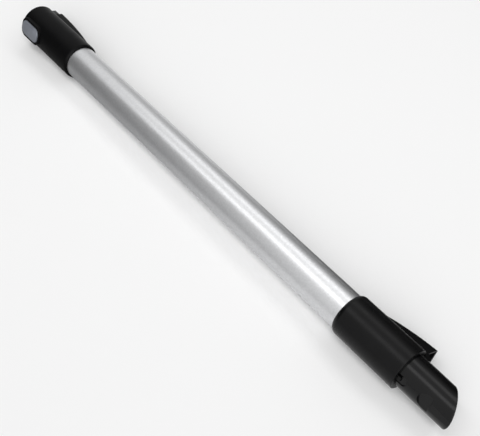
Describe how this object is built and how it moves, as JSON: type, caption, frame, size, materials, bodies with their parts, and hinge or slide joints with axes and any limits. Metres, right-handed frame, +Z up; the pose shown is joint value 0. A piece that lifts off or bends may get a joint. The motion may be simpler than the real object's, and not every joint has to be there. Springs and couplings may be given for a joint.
{
  "type": "vacuum cleaner tube",
  "caption": "Powered vacuum cleaner tube: round aluminium tube with a latching socket sleeve and contact plug, and a slanted spigot with a wedge-shaped contact housing.",
  "frame": {"origin": "on the tube axis at the inner end of the upper socket's seat bore, where a mating spigot stops", "axes": "+X along the tube from the socket to the spigot's tip, +Z up as the tube lies at rest on a floor, +Y across toward the side where the contact housings lean on the floor"},
  "size_m": [0.6314, 0.0574, 0.04],
  "materials": {
    "tube": "fine satin anodised, drawn along its length",
    "upper_sleeve": "fine matte spark-eroded texture",
    "lower_sleeve": "satin moulded black",
    "spigot": "smooth glossy black",
    "liner": "smooth moulded black",
    "button": "satin mid grey",
    "lever": "smooth acetal black",
    "steel": "bright drawn steel",
    "seal": "soft dull rubber",
    "contact_block": "moulded black",
    "contact": "bright plated contact metal",
    "duct": "extruded dark grey",
    "wire_left": "black insulation",
    "wire_right": "red insulation"
  },
  "bodies": {
    "wand": {"tube": "tube", "socket_liner": "liner", "socket_seal": "seal", "upper_sleeve": "upper_sleeve", "sleeve_screw": "steel", "latch_pin": "steel", "latch_spring": "steel", "upper_contact_block": "contact_block", "upper_contact_left": "contact", "upper_contact_right": "contact", "cable_duct": "duct", "wire_left": "wire_left", "wire_right": "wire_right", "lower_sleeve": "lower_sleeve", "spigot": "spigot", "lower_contact_block": "contact_block", "lower_contact_left": "contact", "lower_contact_right": "contact"},
    "latch": {"release_button": "button", "latch_lever": "lever"}
  },
  "joints": [
    {"name": "release_latch", "type": "hinge", "parent": "wand", "child": "latch", "pos_m": [-0.035, -0.01698, 0.0071], "axis": [0, -0.3857, -0.9226], "range_deg": [0, 7], "stiffness_Nm_per_rad": 0.3, "springref_deg": -5.73, "deforming": ["latch_spring"]}
  ]
}
